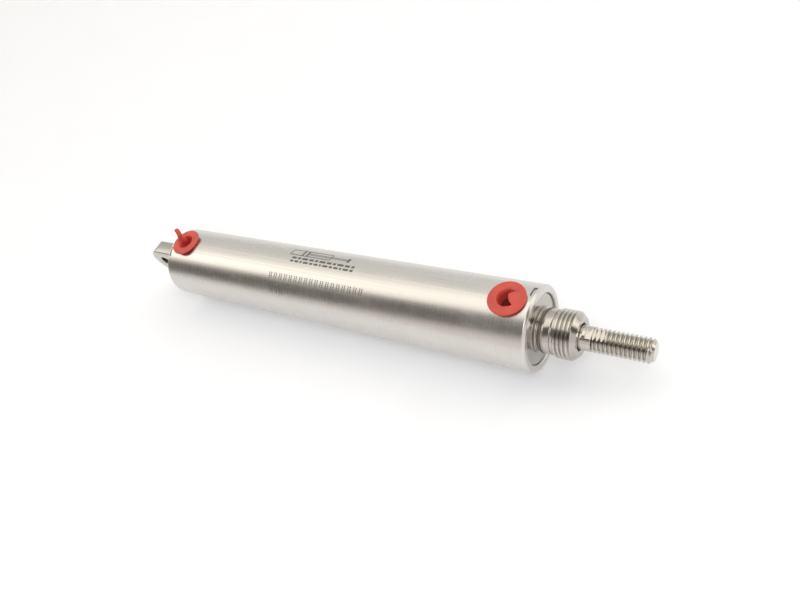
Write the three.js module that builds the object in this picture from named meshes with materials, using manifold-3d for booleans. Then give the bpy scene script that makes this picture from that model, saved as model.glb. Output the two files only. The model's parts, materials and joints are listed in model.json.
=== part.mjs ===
// Round-body double-acting pneumatic cylinder with a threaded nose, a pivot tang and two side ports.
// Units are millimetres. The cylinder lies along X with the rod leaving towards +X, and both ports
// face +Z. The origin is the centre of the tube's front end face. The rod is shown fully retracted.

import * as THREE from 'three';
import Module from 'manifold-3d';
import { mergeVertices } from 'three/addons/utils/BufferGeometryUtils.js';

const wasm = await Module();
wasm.setup();

const INCH = 25.4;

// Driving dimensions: a 1 1/8 inch bore, a 6 inch stroke and a 3/8 inch rod.
const BORE_R = (1.125 * INCH) / 2;
const TUBE_R = (1.375 * INCH) / 2;
const TUBE_LENGTH = 8 * INCH;
const STROKE = 6 * INCH;
const ROD_R = (0.375 * INCH) / 2;
const NOSE_THREAD_R = (0.75 * INCH) / 2;
const THREAD_PITCH = INCH / 16;

// Clearances: between pieces that lie end to end, and between one round piece inside another.
const END_GAP = 0.3;
const SIDE_GAP = 0.1;

// How far a thread's crest stays inside the solid that trims its ends.
const CREST_GAP = 0.05;

// Thread forms: crest width and depth as shares of the pitch, with 60 degrees between the flanks.
const NOSE_THREAD_FORM = { crest: 0.42, depth: 0.42 };
const ROD_THREAD_FORM = { crest: 0.28, depth: 0.52 };

// How many flat sides stand in for a full circle.
const TUBE_SIDES = 48;
const HEAD_SIDES = 32;
const SMALL_SIDES = 24;
const HOLE_SIDES = 20;
const SECTION_SIDES = 6;
const ROD_THREAD_SIDES = 16;
const NOSE_THREAD_SIDES = 24;

// Tube ends, ports and the slots through which each head's retaining wire is fed.
const TUBE_CHAMFER = 0.9;
const BORE_CHAMFER = 0.3;
const FRONT_PORT_INSET = 10.1;
const REAR_PORT_INSET = 10.5;
const PORT_R = 4.3;
const PORT_COUNTERSINK_R = 5.2;
const PORT_COUNTERSINK_DEPTH = 0.9;
const WIRE_INSET = 2.0;
const WIRE_R = 0.6;
const WIRE_GROOVE_WIDTH = 1.5;
const WIRE_SLOT_WIDTH = 1.3;
const WIRE_SLOT_LENGTH = 5.3;
const WIRE_SLOT_DEGREES = -20;

// Both heads, measured outwards (+) or inwards (-) from the end face of the tube.
const HEAD_R = BORE_R - SIDE_GAP;
const HEAD_FACE = -0.8;
const HEAD_CHAMFER = 0.25;
const HEAD_LAND_END = -6.3;
const HEAD_HUB_END = -16.5;
const HEAD_HUB_R = 10.4;
const SEAL_GROOVE_INSET = 4.65;
const SEAL_GROOVE_WIDTH = 1.9;
const SEAL_SECTION_R = 0.85;
const SEAL_R = HEAD_R - SEAL_SECTION_R - 0.05;
const SEAL_GROOVE_R = SEAL_R - SEAL_SECTION_R - SIDE_GAP;
const WIRE_GROOVE_R = BORE_R - WIRE_R - 0.15;
const WIRE_TUBE_GROOVE_R = BORE_R + WIRE_R + 0.15;
const BUMPER_R = 9.3;
const BUMPER_HOLE_R = 5.4;
const BUMPER_POCKET_DEPTH = 1.0;
const BUMPER_INNER_FACE = -18.1;

// Threaded nose of the front head.
const NOSE_COLLAR_R = 9.2;
const NOSE_COLLAR_END = 0.6;
const NOSE_GROOVE_R = 8.4;
const NOSE_GROOVE_END = 1.9;
const NOSE_NECK_R = 8.9;
const NOSE_NECK_END = 5.8;
const NOSE_UNDERCUT_R = 8.3;
const NOSE_UNDERCUT_END = 6.9;
const NOSE_THREAD_LEAD = 0.4;
const NOSE_END = 15.6;
const NOSE_CHAMFER = 1.9;

// Bore of the front head, open to the inside. The rod's wiper, seal and bushing go in from there,
// up against the lip that the nose keeps round the rod, and the bumper holds them in.
const GLAND_BORE_R = 6.45;
const GLAND_LIP = 1.3;
const GLAND_MOUTH_R = 5.4;
const GLAND_CHAMFER = 0.3;
const ROD_FIT_R = ROD_R + SIDE_GAP;
const ROD_SEAL_WIDTH = 3.0;
const ROD_WASHER_WIDTH = 0.8;
const ROD_WASHER_HOLE_R = 5.1;
const WIPER_WIDTH = 2.6;
const WIPER_LIP_HEIGHT = 0.3;
const WIPER_LIP_WIDTH = 0.8;
const WIPER_HEEL_HEIGHT = 0.8;

// Pivot tang on the rear head: round bar with two milled flats, a full round end and a cross hole.
const TANG_R = (0.75 * INCH) / 2;
const TANG_THICKNESS = 0.3125 * INCH;
const TANG_HOLE_R = (0.3125 * INCH) / 2 + 0.03;
const TANG_HOLE_OFFSET = 0.75 * INCH;
const TANG_CHAMFER = 0.5;
const TANG_ROOT = -1.2;

// Piston, measured forwards from its rear face.
const PISTON_R = BORE_R - 0.24;
const PISTON_REAR = -TUBE_LENGTH - BUMPER_INNER_FACE + END_GAP;
const PISTON_LENGTH = TUBE_LENGTH + 2 * BUMPER_INNER_FACE - 2 * END_GAP - STROKE;
const PISTON_LAND = 1.4;
const PISTON_SEAL_GROOVE = 3.3;
const PISTON_SEAL_GROOVE_R = PISTON_R - 2.9;
const PISTON_SEAL_WIDTH = 2.8;
const PISTON_RING_GROOVE = 2.2;
const PISTON_RING_GROOVE_R = PISTON_R - 1.2;
const PISTON_RING_WIDTH = 1.8;
const NUT_POCKET_R = 7.3;
const NUT_POCKET_DEPTH = 7.2;
const STUD_R = (0.25 * INCH) / 2;
const STUD_HOLE_R = STUD_R + SIDE_GAP;
const STUD_END = 0.4;
const STUD_CHAMFER = 0.4;
const PISTON_CHAMFER = 0.4;
const ROD_SEAL_POCKET_R = 5.0;
const ROD_SEAL_POCKET_DEPTH = 1.9;
const ROD_SEAL_SECTION_R = 0.72;
const WASHER_THICKNESS = 1.2;
const WASHER_R = 6.8;
const NUT_THICKNESS = 4.9;
const NUT_ACROSS_FLATS = 0.4375 * INCH;

// Piston rod, measured from the tube's front face with the rod retracted.
const FLATS_START = 17.6;
const FLATS_END = 25.5;
const WRENCH_FLATS = 8.0;
const ROD_THREAD_START = 20.0;
const ROD_THREAD_LEAD = 1.0;
const ROD_END = 42.0;
const ROD_END_CHAMFER = 1.4;

// Push-in plugs that close the ports, measured up from the cylinder's axis.
const PLUG_FLANGE_R = 7.6;
const PLUG_FLANGE_THICKNESS = 1.2;
const PLUG_FLANGE_BOTTOM = TUBE_R + 0.15;
const PLUG_EDGE = 0.35;
const PLUG_SHANK_TOP_R = 4.1;
const PLUG_SHANK_BOTTOM_R = 3.7;
const PLUG_SHANK_BOTTOM = 11.4;
const PLUG_HOLLOW_TOP_R = 3.9;
const PLUG_HOLLOW_R = 3.4;
const PLUG_HOLLOW_BOTTOM_R = 2.9;
const PLUG_HOLLOW_BOTTOM = 12.6;
const TAB_FOOT = PLUG_FLANGE_BOTTOM - 0.6;
const STANDING_TAB = { root: [-3.6, 0.8, TAB_FOOT], tip: [-3.6, 2.4, 25.4], rootR: 2.4, tipR: 1.3 };
const FOLDED_TAB = { root: [4.8, 0, TAB_FOOT], tip: [0.3, 1.2, 19.6], rootR: 2.9, tipR: 0.6 };

// ---------------------------------------------------------------------------------------------
// Geometry helpers

// Turns a closed three.js geometry into a solid that can be joined and cut.
function solidFrom(geometry) {
  geometry.deleteAttribute('normal');
  geometry.deleteAttribute('uv');
  const merged = mergeVertices(geometry, 1e-4);
  const corners = merged.index.array;
  const triangles = [];
  for (let i = 0; i < corners.length; i += 3) {
    const [a, b, c] = [corners[i], corners[i + 1], corners[i + 2]];
    if (a !== b && b !== c && c !== a) triangles.push(a, b, c);
  }
  return new wasm.Manifold(
    new wasm.Mesh({
      numProp: 3,
      vertProperties: new Float32Array(merged.attributes.position.array),
      triVerts: new Uint32Array(triangles),
    }),
  );
}

function geometryFrom(solid) {
  const mesh = solid.getMesh();
  const geometry = new THREE.BufferGeometry();
  geometry.setAttribute('position', new THREE.BufferAttribute(mesh.vertProperties, 3));
  geometry.setIndex(new THREE.BufferAttribute(mesh.triVerts, 1));
  geometry.computeVertexNormals();
  return geometry;
}

// Geometry turned about the X axis. The outline is a list of [x, radius] points that either closes
// on itself or starts and ends on the axis, and may be listed either way round.
function turnedGeometry(outline, sides) {
  let doubleArea = 0;
  outline.forEach(([x, r], i) => {
    const [nextX, nextR] = outline[(i + 1) % outline.length];
    doubleArea += r * nextX - nextR * x;
  });
  const points = outline.map(([x, r]) => new THREE.Vector2(r, x));
  if (doubleArea < 0) points.reverse();
  const onAxis = points[0].x === 0 && points[points.length - 1].x === 0;
  if (!onAxis) points.push(points[0].clone());
  return new THREE.LatheGeometry(points, sides).rotateZ(-Math.PI / 2);
}

function turned(outline, sides = HEAD_SIDES) {
  return solidFrom(turnedGeometry(outline, sides));
}

// A flat-ended ring, such as a washer or a bushing.
function ring(start, end, innerR, outerR, sides = SMALL_SIDES) {
  return turned([[start, innerR], [end, innerR], [end, outerR], [start, outerR]], sides);
}

// A ring of round section, such as an O-ring.
function roundRing(centreX, centreR, sectionR, sides = SMALL_SIDES) {
  const outline = [];
  for (let i = 0; i < SECTION_SIDES; i += 1) {
    const angle = (2 * Math.PI * i) / SECTION_SIDES;
    outline.push([centreX + sectionR * Math.cos(angle), centreR + sectionR * Math.sin(angle)]);
  }
  return turned(outline, sides);
}

// A U-cup seal: a heel at the start and two thin lips that open towards the end.
function uCup(start, end, innerR, outerR, sides = SMALL_SIDES) {
  const height = outerR - innerR;
  const lip = height * 0.22;
  const heelInset = height * 0.08;
  const grooveFloor = start + (end - start) * 0.45;
  const middle = (innerR + outerR) / 2;
  return turned(
    [
      [start, innerR + heelInset],
      [end, innerR],
      [end, innerR + lip],
      [grooveFloor, middle],
      [end, outerR - lip],
      [end, outerR],
      [start, outerR - heelInset],
    ],
    sides,
  );
}

function block(width, depth, height, x, y, z) {
  return solidFrom(new THREE.BoxGeometry(width, depth, height).translate(x, y, z));
}

// A solid round about a line parallel to Z, from an outline of [z, radius] points.
function turnedAboutZ(outline, x, sides = HOLE_SIDES) {
  return solidFrom(turnedGeometry(outline, sides).rotateY(-Math.PI / 2).translate(x, 0, 0));
}

// A screw-thread form of 60 degree flanks wound round the X axis, one closed solid. It runs past
// both ends of the stretch asked for, so that an envelope can trim it.
function threadForm(start, end, outerR, form, sides) {
  const depth = form.depth * THREAD_PITCH;
  const crest = form.crest;
  const flank = form.depth * Math.tan(Math.PI / 6);
  const profile = [
    [0, outerR],
    [crest, outerR],
    [crest + flank, outerR - depth],
    [1 - flank, outerR - depth],
  ];
  const turns = Math.ceil((end - start) / THREAD_PITCH) + 2;
  const rows = turns * profile.length;
  const firstX = start - 1.5 * THREAD_PITCH;

  const corner = (side, row) => {
    const [along, radius] = profile[row % profile.length];
    const turn = Math.floor(row / profile.length) + along + side / sides;
    const angle = (2 * Math.PI * (side % sides)) / sides;
    const x = firstX + THREAD_PITCH * turn;
    return new THREE.Vector3(x, radius * Math.cos(angle), radius * Math.sin(angle));
  };
  const startPole = new THREE.Vector3(firstX - THREAD_PITCH, 0, 0);
  const endPole = new THREE.Vector3(firstX + THREAD_PITCH * (turns + 2), 0, 0);

  const triangles = [];
  const last = rows - 1;
  for (let side = 0; side < sides; side += 1) {
    for (let row = 0; row < last; row += 1) {
      const [a, b] = [corner(side, row), corner(side + 1, row)];
      const [c, d] = [corner(side + 1, row + 1), corner(side, row + 1)];
      triangles.push(a, b, c, a, c, d);
    }
    triangles.push(corner(side + 1, 0), corner(side, 0), startPole);
    triangles.push(corner(side, last), corner(side + 1, last), endPole);
  }
  // The step between the first and second turn at each end.
  for (let step = 0; step < profile.length; step += 1) {
    triangles.push(corner(0, step), corner(0, step + 1), startPole);
    triangles.push(corner(sides, last - step), corner(sides, last - step - 1), endPole);
  }
  const geometry = new THREE.BufferGeometry().setFromPoints(triangles);
  return solidFrom(geometry);
}

function addPart(group, name, solid, material) {
  const mesh = new THREE.Mesh(geometryFrom(solid), material);
  mesh.name = name;
  group.add(mesh);
  return mesh;
}

// ---------------------------------------------------------------------------------------------
// Materials

function metal(color, roughness) {
  return new THREE.MeshStandardMaterial({ color, roughness, metalness: 1, flatShading: true });
}

function soft(color, roughness) {
  return new THREE.MeshStandardMaterial({ color, roughness, metalness: 0, flatShading: true });
}

const STAINLESS = 0xc9c5bd;
const POLYMER = 0xe6e0cf;
const HEAD_STEEL = 0xc2b9a8;
const ALUMINIUM = 0xcdd0d2;
const BRONZE = 0xb08a55;
const NITRILE = 0x1c1c1d;
const URETHANE = 0x3a3f46;
const PLUG_RED = 0xd8453a;

// ---------------------------------------------------------------------------------------------
// Tube

function tubeSolid() {
  const [front, rear] = [0, -TUBE_LENGTH];
  const grooveHalf = WIRE_GROOVE_WIDTH / 2;
  let tube = turned(
    [
      [front, BORE_R + BORE_CHAMFER],
      [front, TUBE_R - TUBE_CHAMFER],
      [front - TUBE_CHAMFER, TUBE_R],
      [rear + TUBE_CHAMFER, TUBE_R],
      [rear, TUBE_R - TUBE_CHAMFER],
      [rear, BORE_R + BORE_CHAMFER],
      [rear + BORE_CHAMFER, BORE_R],
      [rear + WIRE_INSET - grooveHalf, BORE_R],
      [rear + WIRE_INSET - grooveHalf, WIRE_TUBE_GROOVE_R],
      [rear + WIRE_INSET + grooveHalf, WIRE_TUBE_GROOVE_R],
      [rear + WIRE_INSET + grooveHalf, BORE_R],
      [front - WIRE_INSET - grooveHalf, BORE_R],
      [front - WIRE_INSET - grooveHalf, WIRE_TUBE_GROOVE_R],
      [front - WIRE_INSET + grooveHalf, WIRE_TUBE_GROOVE_R],
      [front - WIRE_INSET + grooveHalf, BORE_R],
      [front - BORE_CHAMFER, BORE_R],
    ],
    TUBE_SIDES,
  );
  for (const portX of [front - FRONT_PORT_INSET, rear + REAR_PORT_INSET]) {
    tube = tube.subtract(portCutter(portX));
  }
  tube = tube.subtract(wireSlotCutter(front - WIRE_INSET, WIRE_SLOT_DEGREES));
  return tube.subtract(wireSlotCutter(rear + WIRE_INSET, -WIRE_SLOT_DEGREES));
}

// The port's hole through one wall of the tube, with a countersunk mouth.
function portCutter(x) {
  const mouth = TUBE_R + 1;
  const countersinkFloor = TUBE_R - PORT_COUNTERSINK_DEPTH;
  return turnedAboutZ(
    [
      [BORE_R - 5, 0],
      [BORE_R - 5, PORT_R],
      [countersinkFloor, PORT_R],
      [TUBE_R, PORT_COUNTERSINK_R],
      [mouth, PORT_COUNTERSINK_R],
      [mouth, 0],
    ],
    x,
  );
}

function wireSlotCutter(x, degrees) {
  const wall = TUBE_R - BORE_R;
  const box = new THREE.BoxGeometry(WIRE_SLOT_WIDTH, WIRE_SLOT_LENGTH, wall * 2);
  box.translate(x, 0, BORE_R + wall * 0.8);
  return solidFrom(box.rotateX(THREE.MathUtils.degToRad(degrees)));
}

// ---------------------------------------------------------------------------------------------
// Heads and the pieces that belong to them. Each is drawn with the tube's end face at x = 0 and
// the outside at +x, so the rear end's pieces are the same shapes turned half a turn about Z.

// The outline that both heads share, from the hub's inner end out to the rim of the end face.
function headRim() {
  const sealHalf = SEAL_GROOVE_WIDTH / 2;
  const wireHalf = WIRE_GROOVE_WIDTH / 2;
  return [
    [HEAD_HUB_END, BUMPER_R + END_GAP],
    [HEAD_HUB_END, HEAD_HUB_R],
    [HEAD_LAND_END, HEAD_HUB_R],
    [HEAD_LAND_END, HEAD_R],
    [-SEAL_GROOVE_INSET - sealHalf, HEAD_R],
    [-SEAL_GROOVE_INSET - sealHalf, SEAL_GROOVE_R],
    [-SEAL_GROOVE_INSET + sealHalf, SEAL_GROOVE_R],
    [-SEAL_GROOVE_INSET + sealHalf, HEAD_R],
    [-WIRE_INSET - wireHalf, HEAD_R],
    [-WIRE_INSET - wireHalf, WIRE_GROOVE_R],
    [-WIRE_INSET + wireHalf, WIRE_GROOVE_R],
    [-WIRE_INSET + wireHalf, HEAD_R],
    [HEAD_FACE - HEAD_CHAMFER, HEAD_R],
    [HEAD_FACE, HEAD_R - HEAD_CHAMFER],
  ];
}

function frontHeadSolid() {
  const pocketFloor = HEAD_HUB_END + BUMPER_POCKET_DEPTH;
  const body = turned([
    ...headRim(),
    [HEAD_FACE, NOSE_COLLAR_R],
    [NOSE_COLLAR_END, NOSE_COLLAR_R],
    [NOSE_COLLAR_END, NOSE_GROOVE_R],
    [NOSE_GROOVE_END, NOSE_GROOVE_R],
    [NOSE_GROOVE_END, NOSE_NECK_R],
    [NOSE_NECK_END, NOSE_NECK_R],
    [NOSE_NECK_END, NOSE_UNDERCUT_R],
    [NOSE_UNDERCUT_END + NOSE_THREAD_LEAD, NOSE_UNDERCUT_R],
    [NOSE_UNDERCUT_END + NOSE_THREAD_LEAD, GLAND_BORE_R],
    [pocketFloor, GLAND_BORE_R],
    [pocketFloor, BUMPER_R + END_GAP],
  ]);
  const noseEnvelope = turned(
    [
      [NOSE_UNDERCUT_END, GLAND_BORE_R],
      [NOSE_UNDERCUT_END, NOSE_THREAD_R - NOSE_THREAD_LEAD],
      [NOSE_UNDERCUT_END + NOSE_THREAD_LEAD, NOSE_THREAD_R + CREST_GAP],
      [NOSE_END - NOSE_CHAMFER, NOSE_THREAD_R + CREST_GAP],
      [NOSE_END, NOSE_THREAD_R - NOSE_CHAMFER],
      [NOSE_END, GLAND_MOUTH_R + GLAND_CHAMFER],
      [NOSE_END - GLAND_CHAMFER, GLAND_MOUTH_R],
      [NOSE_END - GLAND_LIP, GLAND_MOUTH_R],
      [NOSE_END - GLAND_LIP, GLAND_BORE_R],
    ],
    NOSE_THREAD_SIDES,
  );
  const thread = threadForm(
    NOSE_UNDERCUT_END,
    NOSE_END,
    NOSE_THREAD_R,
    NOSE_THREAD_FORM,
    NOSE_THREAD_SIDES,
  );
  return body.add(noseEnvelope.intersect(thread));
}

function rearHeadSolid() {
  const pocketFloor = HEAD_HUB_END + BUMPER_POCKET_DEPTH;
  const body = turned([
    [pocketFloor, 0],
    [pocketFloor, BUMPER_R + END_GAP],
    ...headRim(),
    [HEAD_FACE, 0],
  ]);
  return body.add(tangSolid());
}

// The pivot tang: a plate with parallel faces, a full round end and a cross hole, its long edges
// left round by the bar it is milled from.
function tangSolid() {
  const outline = new THREE.Shape();
  outline.moveTo(TANG_ROOT, -TANG_R);
  outline.lineTo(TANG_HOLE_OFFSET, -TANG_R);
  outline.absarc(TANG_HOLE_OFFSET, 0, TANG_R, -Math.PI / 2, Math.PI / 2, false);
  outline.lineTo(TANG_ROOT, TANG_R);
  outline.closePath();
  const hole = new THREE.Path();
  hole.absarc(TANG_HOLE_OFFSET, 0, TANG_HOLE_R, 0, 2 * Math.PI, true);
  outline.holes.push(hole);
  const geometry = new THREE.ExtrudeGeometry(outline, {
    depth: TANG_THICKNESS - 2 * TANG_CHAMFER,
    curveSegments: HOLE_SIDES / 2,
    bevelEnabled: true,
    bevelThickness: TANG_CHAMFER,
    bevelSize: TANG_CHAMFER,
    bevelOffset: -TANG_CHAMFER,
    bevelSegments: 1,
  });
  geometry.translate(0, 0, TANG_CHAMFER - TANG_THICKNESS / 2);
  const plate = solidFrom(geometry.rotateX(Math.PI / 2));
  const tangEnd = TANG_HOLE_OFFSET + TANG_R;
  return plate.intersect(turned([[TANG_ROOT, 0], [TANG_ROOT, TANG_R], [tangEnd, TANG_R], [tangEnd, 0]]));
}

// The sprung wire that locks a head into the tube. Its two ends meet the slot in the tube wall.
function retainingWireSolid() {
  const opening = new THREE.BoxGeometry(4 * WIRE_R, WIRE_SLOT_LENGTH / 2, 8 * WIRE_R);
  opening.translate(-WIRE_INSET, WIRE_SLOT_LENGTH / 4, BORE_R);
  opening.rotateX(THREE.MathUtils.degToRad(WIRE_SLOT_DEGREES));
  return roundRing(-WIRE_INSET, BORE_R, WIRE_R, HEAD_SIDES).subtract(solidFrom(opening));
}

function addEnd(group, prefix, headSolid) {
  addPart(group, `${prefix}_head`, headSolid, metal(HEAD_STEEL, 0.32));
  addPart(group, `${prefix}_retaining_wire`, retainingWireSolid(), metal(STAINLESS, 0.4));
  const seal = roundRing(-SEAL_GROOVE_INSET, SEAL_R, SEAL_SECTION_R, HEAD_SIDES);
  addPart(group, `${prefix}_head_seal`, seal, soft(NITRILE, 0.6));
  const bumperOuterFace = HEAD_HUB_END + BUMPER_POCKET_DEPTH - END_GAP;
  const bumper = ring(BUMPER_INNER_FACE, bumperOuterFace, BUMPER_HOLE_R, BUMPER_R);
  addPart(group, `${prefix}_bumper`, bumper, soft(URETHANE, 0.7));
}

// The pieces stacked along the rod inside the front head, placed from the nose's lip inwards.
function addRodGland(group) {
  const outerR = GLAND_BORE_R - SIDE_GAP;
  const wiperEnd = NOSE_END - GLAND_LIP - END_GAP;
  const wiperStart = wiperEnd - WIPER_WIDTH;
  const lipStart = wiperEnd - WIPER_LIP_WIDTH;
  const wiper = turned(
    [
      [wiperStart, ROD_FIT_R + WIPER_HEEL_HEIGHT],
      [wiperStart, outerR],
      [lipStart, outerR],
      [lipStart, ROD_FIT_R + 2 * WIPER_LIP_HEIGHT],
      [wiperEnd, ROD_FIT_R + WIPER_LIP_HEIGHT],
      [wiperEnd, ROD_FIT_R],
      [lipStart, ROD_FIT_R],
    ],
    SMALL_SIDES,
  );
  addPart(group, 'rod_wiper', wiper, soft(NITRILE, 0.55));

  const washerEnd = wiperStart - END_GAP;
  const washerStart = washerEnd - ROD_WASHER_WIDTH;
  const washer = ring(washerStart, washerEnd, ROD_WASHER_HOLE_R, outerR);
  addPart(group, 'rod_seal_washer', washer, metal(STAINLESS, 0.4));

  const sealEnd = washerStart - END_GAP;
  const sealStart = sealEnd - ROD_SEAL_WIDTH;
  const seal = uCup(sealEnd, sealStart, ROD_FIT_R, outerR);
  addPart(group, 'rod_seal', seal, soft(URETHANE, 0.5));

  const bushingEnd = sealStart - END_GAP;
  const bushingStart = HEAD_HUB_END + BUMPER_POCKET_DEPTH + END_GAP;
  const bushing = ring(bushingStart, bushingEnd, ROD_FIT_R, outerR);
  addPart(group, 'rod_bushing', bushing, metal(BRONZE, 0.45));
}

// ---------------------------------------------------------------------------------------------
// Piston, rod and the pieces that move with them, with the piston's rear face at x = 0.

const REAR_SEAL_START = PISTON_LAND;
const FRONT_SEAL_START = PISTON_LENGTH - PISTON_LAND - PISTON_SEAL_GROOVE;
const RING_START = (PISTON_LENGTH - PISTON_RING_GROOVE) / 2;

// Outline points for a groove cut into the piston's rim, read towards +x.
function pistonGroove(start, width, floorR) {
  return [
    [start, PISTON_R],
    [start, floorR],
    [start + width, floorR],
    [start + width, PISTON_R],
  ];
}

function pistonSolid() {
  const pocketFloor = PISTON_LENGTH - ROD_SEAL_POCKET_DEPTH;
  return turned([
    [0, NUT_POCKET_R],
    [0, PISTON_R - PISTON_CHAMFER],
    [PISTON_CHAMFER, PISTON_R],
    ...pistonGroove(REAR_SEAL_START, PISTON_SEAL_GROOVE, PISTON_SEAL_GROOVE_R),
    ...pistonGroove(RING_START, PISTON_RING_GROOVE, PISTON_RING_GROOVE_R),
    ...pistonGroove(FRONT_SEAL_START, PISTON_SEAL_GROOVE, PISTON_SEAL_GROOVE_R),
    [PISTON_LENGTH - PISTON_CHAMFER, PISTON_R],
    [PISTON_LENGTH, PISTON_R - PISTON_CHAMFER],
    [PISTON_LENGTH, ROD_SEAL_POCKET_R],
    [pocketFloor, ROD_SEAL_POCKET_R],
    [pocketFloor, STUD_HOLE_R],
    [NUT_POCKET_DEPTH, STUD_HOLE_R],
    [NUT_POCKET_DEPTH, NUT_POCKET_R],
  ]);
}

function addPistonSeals(group) {
  const grooveGap = (PISTON_SEAL_GROOVE - PISTON_SEAL_WIDTH) / 2;
  const innerR = PISTON_SEAL_GROOVE_R + SIDE_GAP;
  const outerR = BORE_R - SIDE_GAP;
  const frontHeel = FRONT_SEAL_START + grooveGap;
  const frontSeal = uCup(frontHeel, frontHeel + PISTON_SEAL_WIDTH, innerR, outerR, HEAD_SIDES);
  addPart(group, 'piston_front_seal', frontSeal, soft(NITRILE, 0.55));

  const rearLips = REAR_SEAL_START + grooveGap;
  const rearSeal = uCup(rearLips + PISTON_SEAL_WIDTH, rearLips, innerR, outerR, HEAD_SIDES);
  addPart(group, 'piston_rear_seal', rearSeal, soft(NITRILE, 0.55));

  const ringStart = RING_START + (PISTON_RING_GROOVE - PISTON_RING_WIDTH) / 2;
  const ringEnd = ringStart + PISTON_RING_WIDTH;
  const wearRing = ring(ringStart, ringEnd, PISTON_RING_GROOVE_R + SIDE_GAP, outerR, HEAD_SIDES);
  addPart(group, 'piston_wear_ring', wearRing, soft(POLYMER, 0.5));
}

// The rod: a stud that carries the piston, the full-size shaft, two wrench flats and the rod
// thread. Lengths from the tube's front face are shifted into the piston's own frame.
function rodSolid() {
  const toPiston = -PISTON_REAR;
  const shoulder = PISTON_LENGTH + END_GAP;
  const threadStart = ROD_THREAD_START + toPiston;
  const end = ROD_END + toPiston;
  const shaft = turned(
    [
      [STUD_END, 0],
      [STUD_END, STUD_R - STUD_CHAMFER],
      [STUD_END + STUD_CHAMFER, STUD_R],
      [shoulder, STUD_R],
      [shoulder, ROD_R],
      [threadStart, ROD_R],
      [threadStart, 0],
    ],
    SMALL_SIDES,
  );
  const envelope = turned(
    [
      [threadStart - END_GAP, 0],
      [threadStart - END_GAP, ROD_R - ROD_THREAD_LEAD],
      [threadStart + ROD_THREAD_LEAD, ROD_R + CREST_GAP],
      [end - ROD_END_CHAMFER, ROD_R + CREST_GAP],
      [end, ROD_R - ROD_END_CHAMFER],
      [end, 0],
    ],
    ROD_THREAD_SIDES,
  );
  const thread = threadForm(threadStart, end, ROD_R, ROD_THREAD_FORM, ROD_THREAD_SIDES);
  let rod = shaft.add(envelope.intersect(thread));

  // The flats run from the plain shaft over the first turns of the thread.
  const flatsMiddle = (FLATS_START + FLATS_END) / 2 + toPiston;
  const flatsLength = FLATS_END - FLATS_START;
  for (const side of [-1, 1]) {
    const z = side * (WRENCH_FLATS / 2 + ROD_R / 2);
    rod = rod.subtract(block(flatsLength, 3 * ROD_R, ROD_R, flatsMiddle, 0, z));
  }
  return rod;
}

function addRodAndPiston(group) {
  addPart(group, 'piston', pistonSolid(), metal(ALUMINIUM, 0.35));
  addPart(group, 'piston_rod', rodSolid(), metal(STAINLESS, 0.25));

  const sealX = PISTON_LENGTH - ROD_SEAL_POCKET_DEPTH / 2;
  const sealR = STUD_R + ROD_SEAL_SECTION_R + SIDE_GAP;
  addPart(group, 'piston_rod_seal', roundRing(sealX, sealR, ROD_SEAL_SECTION_R), soft(NITRILE, 0.6));

  const washerEnd = NUT_POCKET_DEPTH - END_GAP;
  const washerStart = washerEnd - WASHER_THICKNESS;
  const washer = ring(washerStart, washerEnd, STUD_HOLE_R, WASHER_R);
  addPart(group, 'piston_washer', washer, metal(STAINLESS, 0.4));

  const nutEnd = washerStart - END_GAP;
  const cornerR = NUT_ACROSS_FLATS / Math.sqrt(3);
  const nut = ring(nutEnd - NUT_THICKNESS, nutEnd, 0, cornerR, 6);
  const threadHole = ring(-1, nutEnd + 1, 0, STUD_HOLE_R);
  addPart(group, 'piston_nut', nut.subtract(threadHole), metal(STAINLESS, 0.4));
}

// ---------------------------------------------------------------------------------------------
// Port plugs: a soft flanged cup with a pull tab moulded to the rim of its hollow.

function plugSolid(tab) {
  const top = PLUG_FLANGE_BOTTOM + PLUG_FLANGE_THICKNESS;
  const tabZoneR = PLUG_FLANGE_R - PLUG_EDGE;
  const tabFloor = PLUG_FLANGE_BOTTOM + PLUG_EDGE;
  const tabZone = turnedAboutZ([[tabFloor, 0], [tabFloor, tabZoneR], [2 * top, tabZoneR], [2 * top, 0]], 0);
  const cup = turnedAboutZ(
    [
      [PLUG_HOLLOW_BOTTOM, 0],
      [PLUG_HOLLOW_BOTTOM, PLUG_HOLLOW_BOTTOM_R],
      [PLUG_FLANGE_BOTTOM, PLUG_HOLLOW_R],
      [top, PLUG_HOLLOW_TOP_R],
      [top, PLUG_FLANGE_R - PLUG_EDGE],
      [top - PLUG_EDGE, PLUG_FLANGE_R],
      [PLUG_FLANGE_BOTTOM + PLUG_EDGE, PLUG_FLANGE_R],
      [PLUG_FLANGE_BOTTOM, PLUG_FLANGE_R - PLUG_EDGE],
      [PLUG_FLANGE_BOTTOM, PLUG_SHANK_TOP_R],
      [PLUG_SHANK_BOTTOM + PLUG_EDGE, PLUG_SHANK_BOTTOM_R],
      [PLUG_SHANK_BOTTOM, PLUG_SHANK_BOTTOM_R - PLUG_EDGE],
      [PLUG_SHANK_BOTTOM, 0],
    ],
    0,
  );
  return cup.add(tab.intersect(tabZone));
}

// A round tapered finger that runs from a root beside the hollow to a rounded tip.
function fingerTab({ root, tip, rootR, tipR }) {
  const rootPoint = new THREE.Vector3(...root);
  const axis = new THREE.Vector3(...tip).sub(rootPoint);
  const length = axis.length();
  const sides = 12;
  const steps = 4;
  const outline = [[0, 0], [0, rootR], [length * 0.3, rootR + (tipR - rootR) * 0.6]];
  for (let i = 0; i <= steps; i += 1) {
    const angle = (Math.PI / 2) * (i / steps);
    const radius = i === steps ? 0 : tipR * Math.cos(angle);
    outline.push([length - tipR + tipR * Math.sin(angle), radius]);
  }
  const turn = new THREE.Quaternion();
  turn.setFromUnitVectors(new THREE.Vector3(1, 0, 0), axis.normalize());
  const geometry = turnedGeometry(outline, sides).applyQuaternion(turn);
  return solidFrom(geometry.translate(...root));
}

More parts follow.
